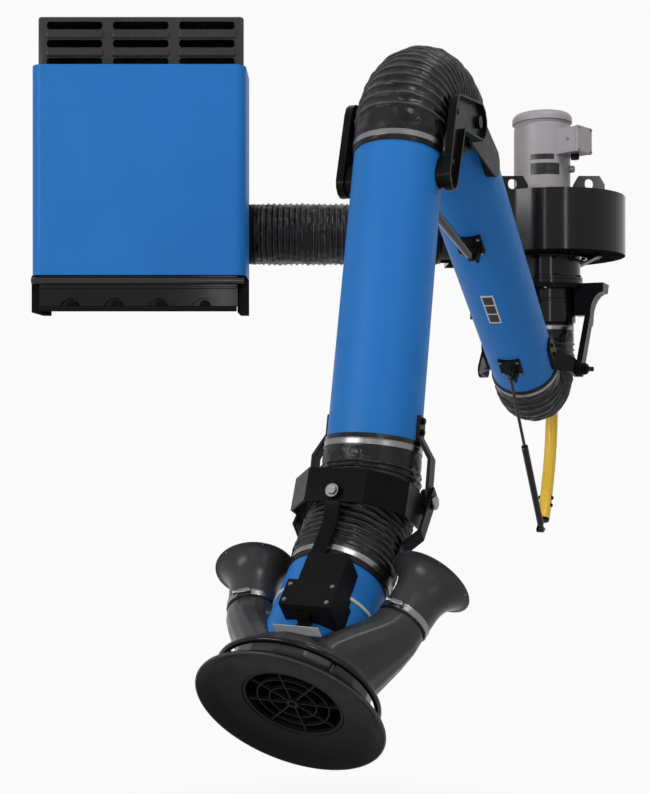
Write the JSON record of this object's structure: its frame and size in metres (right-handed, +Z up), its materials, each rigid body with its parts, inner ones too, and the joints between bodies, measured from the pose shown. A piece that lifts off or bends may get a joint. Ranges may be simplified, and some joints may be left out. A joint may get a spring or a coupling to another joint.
{
  "type": "welding fume extraction arm",
  "caption": "Wall-mounted welding-fume extractor: filter cabinet, ducted blower and a swivelling, gas-spring balanced two-tube arm with ribbed hoses and a tilting suction hood.",
  "frame": {"origin": "on the wall, at the back face of the blower's wall plate", "axes": "+X to the right along the wall, +Y into the wall, +Z up"},
  "size_m": [1.9767, 2.38, 1.9702],
  "materials": {
    "blue_paint": "gloss powder coat",
    "black_paint": "satin black paint",
    "black_plastic": "moulded, satin",
    "hose_rubber": "ribbed, matt",
    "steel": "bright",
    "motor_grey": "satin grey paint",
    "fan_metal": "cast",
    "yellow_paint": "gloss paint",
    "filter_media": "pleated paper media",
    "pale_seal": "nylon"
  },
  "bodies": {
    "base": {"cabinet_cover": "blue_paint", "cabinet_chassis": "black_paint", "filter_pack": "filter_media", "outlet_louvre": "black_plastic", "duct_hose": "hose_rubber", "duct_clamp_left": "black_paint", "duct_clamp_right": "black_paint", "scroll_housing": "black_paint", "motor_body": "motor_grey", "motor_cap": "motor_grey", "terminal_box": "motor_grey", "inlet_pipe": "black_paint", "wall_bracket": "black_paint"},
    "dust_drawer": {"dust_tray": "black_plastic"},
    "fan_wheel": {"impeller": "fan_metal"},
    "swivel": {"swivel_collar": "black_paint", "swivel_yoke": "black_paint", "collar_clamp": "steel", "support_bar": "yellow_paint", "shoulder_hose": "hose_rubber"},
    "shoulder_lock": {"shoulder_knob": "black_plastic"},
    "inner_arm": {"inner_clamp_low": "steel", "inner_tube": "blue_paint", "shoulder_plate_right": "black_paint", "shoulder_plate_left": "black_paint", "spring_plate_lower": "black_paint", "spring_plate_upper": "black_paint", "elbow_link_right": "black_paint", "elbow_link_left": "black_paint", "elbow_hose": "hose_rubber"},
    "lower_cylinder": {"lower_spring_cylinder": "black_paint"},
    "lower_rod": {"lower_spring_rod": "black_paint"},
    "upper_cylinder": {"upper_spring_cylinder": "black_paint"},
    "upper_rod": {"upper_spring_rod": "black_paint"},
    "outer_arm": {"outer_clamp_high": "steel", "outer_tube": "blue_paint", "elbow_bracket_right": "black_paint", "elbow_bracket_left": "black_paint", "spring_plate_outer": "black_paint", "outer_clamp_low": "steel", "hood_strap_right": "black_paint", "hood_strap_left": "black_paint", "hood_hose": "hose_rubber"},
    "hood_frame": {"hood_bail": "black_paint", "neck_strap_right": "black_paint", "neck_strap_left": "black_paint", "neck_clamp": "steel", "neck_upper": "blue_paint", "swivel_seal": "pale_seal"},
    "hood_lock": {"hood_knob": "steel"},
    "hood": {"neck_lower": "blue_paint", "plenum": "black_plastic", "horn_right": "black_plastic", "horn_left": "black_plastic", "horn_clamp_right": "steel", "horn_clamp_left": "steel", "control_box": "black_plastic", "front_disc": "black_plastic", "intake_grille": "black_plastic", "ring_handle": "black_paint"}
  },
  "joints": [
    {"name": "drawer_slide", "type": "slide", "parent": "base", "child": "dust_drawer", "axis": [0, -1, 0], "range_m": [0, 0.3]},
    {"name": "fan_spin", "type": "hinge", "parent": "base", "child": "fan_wheel", "pos_m": [0, -0.43, 0], "axis": [0, 0, 1], "continuous": true},
    {"name": "arm_swivel", "type": "hinge", "parent": "base", "child": "swivel", "pos_m": [0, -0.43, -0.2], "axis": [0, 0, 1], "range_deg": [-36, 100]},
    {"name": "shoulder", "type": "hinge", "parent": "swivel", "child": "inner_arm", "pos_m": [-0.06659, -0.58097, -0.47], "axis": [0.915, -0.4035, 0], "range_deg": [-18, 18], "deforming": ["shoulder_hose"]},
    {"name": "shoulder_knob_turn", "type": "hinge", "parent": "swivel", "child": "shoulder_lock", "pos_m": [-0.06659, -0.58097, -0.47], "axis": [0.915, -0.4035, 0], "continuous": true},
    {"name": "lower_spring_turn", "type": "hinge", "parent": "swivel", "child": "lower_cylinder", "pos_m": [-0.00202, -0.43457, -1.008], "axis": [0.915, -0.4035, 0], "range_deg": [-3.84, 3.84]},
    {"name": "lower_spring_slide", "type": "slide", "parent": "lower_cylinder", "child": "lower_rod", "axis": [-0.2552, -0.5787, 0.7746], "range_m": [-0.07031, 0.07031]},
    {"name": "elbow", "type": "hinge", "parent": "inner_arm", "child": "outer_arm", "pos_m": [-0.48558, -1.53096, 0.09662], "axis": [0.915, -0.4035, 0], "range_deg": [-30, 12], "deforming": ["elbow_hose"]},
    {"name": "upper_spring_turn", "type": "hinge", "parent": "inner_arm", "child": "upper_cylinder", "pos_m": [-0.33941, -1.21936, -0.18361], "axis": [0.915, -0.4035, 0], "range_deg": [-4.62, 1.92]},
    {"name": "upper_spring_slide", "type": "slide", "parent": "upper_cylinder", "child": "upper_rod", "axis": [-0.3922, -0.8892, 0.2355], "range_m": [-0.04051, 0.0973]},
    {"name": "hood_pitch", "type": "hinge", "parent": "outer_arm", "child": "hood_frame", "pos_m": [-0.64284, -1.88752, -0.77962], "axis": [0.915, -0.4035, 0], "range_deg": [-35, 35], "deforming": ["hood_hose"]},
    {"name": "hood_knob_turn", "type": "hinge", "parent": "hood_frame", "child": "hood_lock", "pos_m": [-0.64284, -1.88752, -0.77962], "axis": [0.915, -0.4035, 0], "continuous": true},
    {"name": "hood_turn", "type": "hinge", "parent": "hood_frame", "child": "hood", "pos_m": [-0.73731, -2.1017, -0.9904], "axis": [-0.2999, -0.6799, -0.6691], "range_deg": [-45, 45]}
  ],
  "couplings": [
    {"joint": "lower_spring_turn", "follows": "shoulder", "ratio": 0.20531},
    {"joint": "lower_spring_slide", "follows": "shoulder", "m_per_rad": -0.21519},
    {"joint": "upper_spring_turn", "follows": "elbow", "ratio": 0.14986},
    {"joint": "upper_spring_slide", "follows": "elbow", "m_per_rad": -0.18076}
  ]
}
